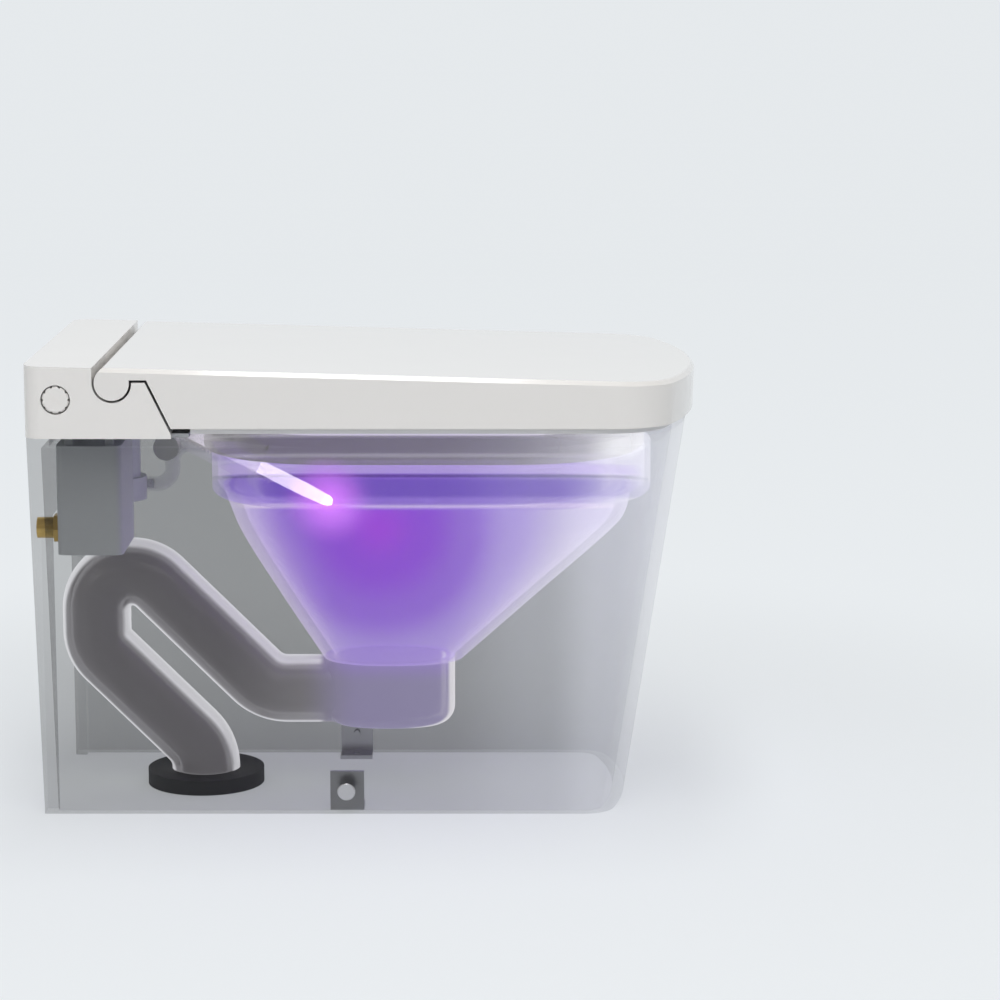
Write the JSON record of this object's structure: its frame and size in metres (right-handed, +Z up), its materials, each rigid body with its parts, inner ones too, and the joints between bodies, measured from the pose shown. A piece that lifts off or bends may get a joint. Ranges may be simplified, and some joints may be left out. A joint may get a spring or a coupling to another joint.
{
  "type": "smart toilet",
  "caption": "Floor-standing skirted toilet with a flat hinged lid and seat, flushing bowl and trapway, and a rear unit with a sliding wash nozzle, ultraviolet lamp and warm-air dryer.",
  "frame": {"origin": "on the floor, below the middle of the toilet's length and width", "axes": "+X to the user's left when seated facing -Y, +Y towards the wall, +Z up"},
  "size_m": [0.39, 0.6599, 0.4606],
  "materials": {
    "skirt_glaze": "see-through grey glaze",
    "bowl_glaze": "gloss white glaze",
    "trap_glaze": "grey glaze",
    "seal_rubber": "matt",
    "lid_gloss": "gloss",
    "inner_plastic": "satin",
    "cover_plastic": "gloss",
    "structure_plastic": "matt",
    "dark_plastic": "matt",
    "tank_plastic": "matt",
    "gear_plastic": "satin",
    "steel": "brushed",
    "brass": "turned",
    "board_green": "satin",
    "foil": "matt foil",
    "wand_plastic": "gloss white",
    "lamp_lens": "violet lens"
  },
  "bodies": {
    "root": {"pan_skirt": "skirt_glaze", "rim_collar": "bowl_glaze", "flush_ring": "bowl_glaze", "bowl": "bowl_glaze", "sump": "trap_glaze", "trapway": "trap_glaze", "outlet_seal": "seal_rubber", "floor_brackets": "steel", "side_fixings": "steel", "rear_tray": "structure_plastic", "rear_cover": "cover_plastic", "cover_screws": "steel", "hinge_posts": "structure_plastic", "hinge_pins": "steel", "soft_close_dampers": "dark_plastic", "nozzle_guide": "structure_plastic", "nozzle_motor": "steel", "dryer_duct": "structure_plastic", "dryer_blower": "structure_plastic", "flush_tank": "tank_plastic", "pump_housing": "tank_plastic", "rim_hose": "dark_plastic", "tank_hose": "dark_plastic", "inlet_fitting": "brass", "inlet_strainer": "steel", "water_heater": "tank_plastic", "inlet_valve": "dark_plastic", "control_board": "board_green", "power_supply": "steel", "odour_fan_housing": "structure_plastic", "odour_filter": "dark_plastic", "mains_gland": "dark_plastic"},
    "seat": {"seat_lower_shell": "inner_plastic", "seat_upper_shell": "lid_gloss", "seat_hinge_arms": "structure_plastic", "seat_heater": "foil", "seat_buffers": "seal_rubber"},
    "lid": {"lid_shell": "lid_gloss", "lid_inner_panel": "inner_plastic", "lid_hinge_arms": "structure_plastic", "lid_buffers": "seal_rubber"},
    "wand": {"wand_tube": "wand_plastic", "wand_rack": "gear_plastic", "nozzle_tip": "wand_plastic", "uv_lamp": "lamp_lens"},
    "pinion": {"drive_pinion": "gear_plastic"},
    "knob_stem": {"knob_plunger": "structure_plastic"},
    "knob_cap": {"side_knob": "cover_plastic"},
    "flap": {"dryer_flap": "dark_plastic"},
    "dryer_rotor": {"dryer_impeller": "gear_plastic"},
    "pump_rotor": {"pump_impeller": "gear_plastic"},
    "odour_rotor": {"odour_fan": "gear_plastic"}
  },
  "joints": [
    {"name": "seat_hinge", "type": "hinge", "parent": "root", "child": "seat", "pos_m": [0, 0.238, 0.444], "axis": [-1, 0, 0], "range_deg": [0, 95]},
    {"name": "lid_hinge", "type": "hinge", "parent": "seat", "child": "lid", "pos_m": [0, 0.238, 0.444], "axis": [1, 0, 0], "range_deg": [-95, 0]},
    {"name": "nozzle_slide", "type": "slide", "parent": "root", "child": "wand", "axis": [0, 0.891, 0.454], "range_m": [0, 0.105]},
    {"name": "pinion_spin", "type": "hinge", "parent": "root", "child": "pinion", "pos_m": [0, 0.20381, 0.35674], "axis": [1, 0, 0], "range_deg": [-720, 0]},
    {"name": "knob_press", "type": "slide", "parent": "root", "child": "knob_stem", "axis": [1, 0, 0], "range_m": [0, 0.0025], "stiffness_N_per_m": 400, "springref_m": -0.002},
    {"name": "knob_turn", "type": "hinge", "parent": "knob_stem", "child": "knob_cap", "pos_m": [-0.19, 0.292, 0.428], "axis": [1, 0, 0], "range_deg": [-45, 45]},
    {"name": "flap_hinge", "type": "hinge", "parent": "root", "child": "flap", "pos_m": [0.05, 0.10943, 0.34019], "axis": [-1, 0, 0], "range_deg": [0, 60]},
    {"name": "dryer_fan_spin", "type": "hinge", "parent": "root", "child": "dryer_rotor", "pos_m": [0.05, 0.288, 0.424], "axis": [1, 0, 0], "continuous": true},
    {"name": "pump_spin", "type": "hinge", "parent": "root", "child": "pump_rotor", "pos_m": [0.084, 0.268, 0.292], "axis": [0, 0, 1], "continuous": true},
    {"name": "odour_fan_spin", "type": "hinge", "parent": "root", "child": "odour_rotor", "pos_m": [0.126, 0.212, 0.4], "axis": [0, 0, 1], "continuous": true}
  ],
  "couplings": [
    {"joint": "pinion_spin", "follows": "nozzle_slide", "rad_per_m": -114.29}
  ]
}
